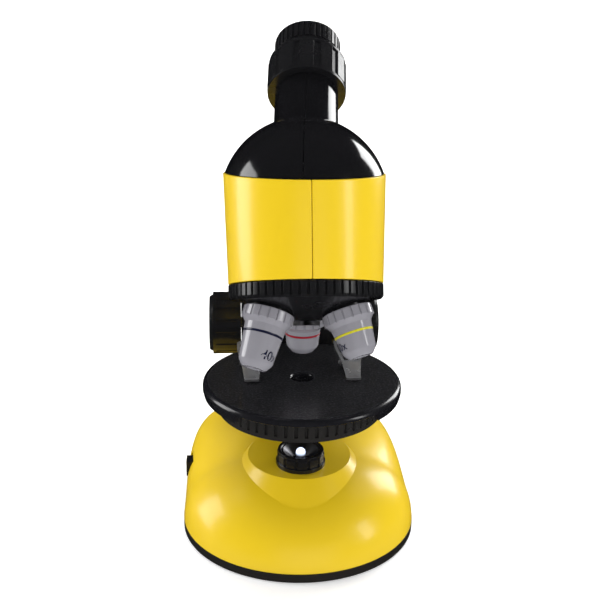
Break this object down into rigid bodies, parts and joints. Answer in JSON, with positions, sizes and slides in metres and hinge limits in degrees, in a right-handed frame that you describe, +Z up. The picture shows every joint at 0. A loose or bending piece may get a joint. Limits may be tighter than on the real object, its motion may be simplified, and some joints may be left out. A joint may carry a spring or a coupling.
{
  "type": "kids microscope",
  "caption": "Upright toy microscope with a lit dome base, round stage, rotating objective turret and an inclined zoom eyepiece on a swivelling head.",
  "frame": {"origin": "on the table under the microscope, straight below the light hole in the stage", "axes": "+Z up, +Y towards the user's side where the arm and eyepiece are, +X to the right seen from the stage side"},
  "size_m": [0.0992, 0.1239, 0.2076],
  "materials": {
    "yellow_shell": "moulded, semi-gloss",
    "black_gloss": "moulded, high gloss",
    "black_satin": "moulded, satin",
    "stage_black": "fine sparkled texture with a smooth rim",
    "dark_plastic": "moulded, matte",
    "inner_plastic": "moulded, plain",
    "rubber": "soft black",
    "objective_grey": "moulded, light grey gloss",
    "band_red": "painted line",
    "band_yellow": "painted line",
    "band_navy": "painted line",
    "clip_chrome": "polished sheet",
    "steel": "plain",
    "brass": "plain",
    "reflector": "vacuum metallised",
    "mirror_face": "front-silvered",
    "lens_glass": "coated",
    "led_lens": "clear epoxy",
    "board": "solder mask",
    "cell_jacket": "printed-free jacket",
    "filter_red": "tinted film",
    "filter_green": "tinted film",
    "filter_blue": "tinted film",
    "filter_yellow": "tinted film"
  },
  "bodies": {
    "root": {"base_shell": "yellow_shell", "base_plate": "dark_plastic", "battery_cover": "dark_plastic", "base_screws": "steel", "rubber_feet": "rubber", "battery_tray": "inner_plastic", "batteries": "cell_jacket", "battery_contacts": "steel", "switch_housing": "inner_plastic", "lamp_collar": "black_satin", "lamp_reflector": "reflector", "lamp_led": "led_lens", "lamp_board": "board", "arm_front_cover": "black_satin", "arm_rear_shell": "yellow_shell", "focus_guide": "inner_plastic", "turret_screw": "steel", "turret_detent": "steel", "head_chassis": "inner_plastic", "sleeve_left": "yellow_shell", "sleeve_right": "yellow_shell", "swivel_ring": "inner_plastic"},
    "stage": {"stage_plate": "stage_black", "stage_carrier": "black_satin", "stage_rack": "black_satin", "wheel_screw": "steel", "clip_pins": "steel"},
    "filter_wheel": {"filter_wheel": "black_satin", "filter_red": "filter_red", "filter_green": "filter_green", "filter_blue": "filter_blue", "filter_yellow": "filter_yellow"},
    "clip_left": {"clip_left": "clip_chrome"},
    "clip_right": {"clip_right": "clip_chrome"},
    "focus": {"focus_shaft": "steel", "focus_pinion": "brass", "focus_knob_left": "black_satin", "focus_knob_right": "black_satin"},
    "turret": {"turret_ring": "black_satin", "turret_cone": "black_satin", "objective_low": "objective_grey", "objective_mid": "objective_grey", "objective_high": "objective_grey", "band_low": "band_red", "band_mid": "band_yellow", "band_high": "band_navy", "lens_low": "lens_glass", "lens_mid": "lens_glass", "lens_high": "lens_glass"},
    "eyepiece_head": {"ball_left": "black_gloss", "ball_right": "black_gloss", "mirror": "mirror_face", "mirror_holder": "inner_plastic", "swivel_retainer": "inner_plastic"},
    "zoom_ring": {"zoom_ring": "black_satin"},
    "eyepiece": {"eyecup": "rubber", "eyepiece_barrel": "inner_plastic", "eye_lens": "lens_glass", "field_lens": "lens_glass"},
    "light_switch": {"switch_slider": "black_satin"}
  },
  "joints": [
    {"name": "focus_turn", "type": "hinge", "parent": "root", "child": "focus", "pos_m": [0, 0.058, 0.0735], "axis": [1, 0, 0], "range_deg": [-18, 119.5]},
    {"name": "stage_slide", "type": "slide", "parent": "root", "child": "stage", "axis": [0, 0, 1], "range_m": [-0.01, 0.0015]},
    {"name": "filter_wheel_turn", "type": "hinge", "parent": "stage", "child": "filter_wheel", "pos_m": [0, 0.008, 0.0585], "axis": [0, 0, 1], "continuous": true},
    {"name": "clip_left_lift", "type": "hinge", "parent": "stage", "child": "clip_left", "pos_m": [-0.0204, 0.009, 0.0734], "axis": [-1, 0, 0], "range_deg": [0, 8], "stiffness_Nm_per_rad": 0.04, "springref_deg": -17.19},
    {"name": "clip_right_lift", "type": "hinge", "parent": "stage", "child": "clip_right", "pos_m": [0.0204, 0.009, 0.0734], "axis": [-1, 0, 0], "range_deg": [0, 8], "stiffness_Nm_per_rad": 0.04, "springref_deg": -17.19},
    {"name": "turret_turn", "type": "hinge", "parent": "root", "child": "turret", "pos_m": [0, 0, 0.1402], "axis": [0, 0.36, 0.933], "continuous": true},
    {"name": "head_swivel", "type": "hinge", "parent": "root", "child": "eyepiece_head", "pos_m": [0, 0.0039, 0.1417], "axis": [0, 0.0976, 0.9952], "range_deg": [-170, 170]},
    {"name": "zoom_turn", "type": "hinge", "parent": "eyepiece_head", "child": "zoom_ring", "pos_m": [0, 0.0039, 0.1417], "axis": [0.064, 0.7342, 0.6759], "range_deg": [0, 120]},
    {"name": "eyecup_slide", "type": "slide", "parent": "eyepiece_head", "child": "eyepiece", "axis": [0.064, 0.7342, 0.6759], "range_m": [0, 0.006]},
    {"name": "switch_slide", "type": "slide", "parent": "root", "child": "light_switch", "axis": [0, 1, 0], "range_m": [0, 0.003]}
  ],
  "couplings": [
    {"joint": "focus_turn", "follows": "stage_slide", "rad_per_m": -208.33},
    {"joint": "zoom_turn", "follows": "eyecup_slide", "rad_per_m": 349}
  ]
}
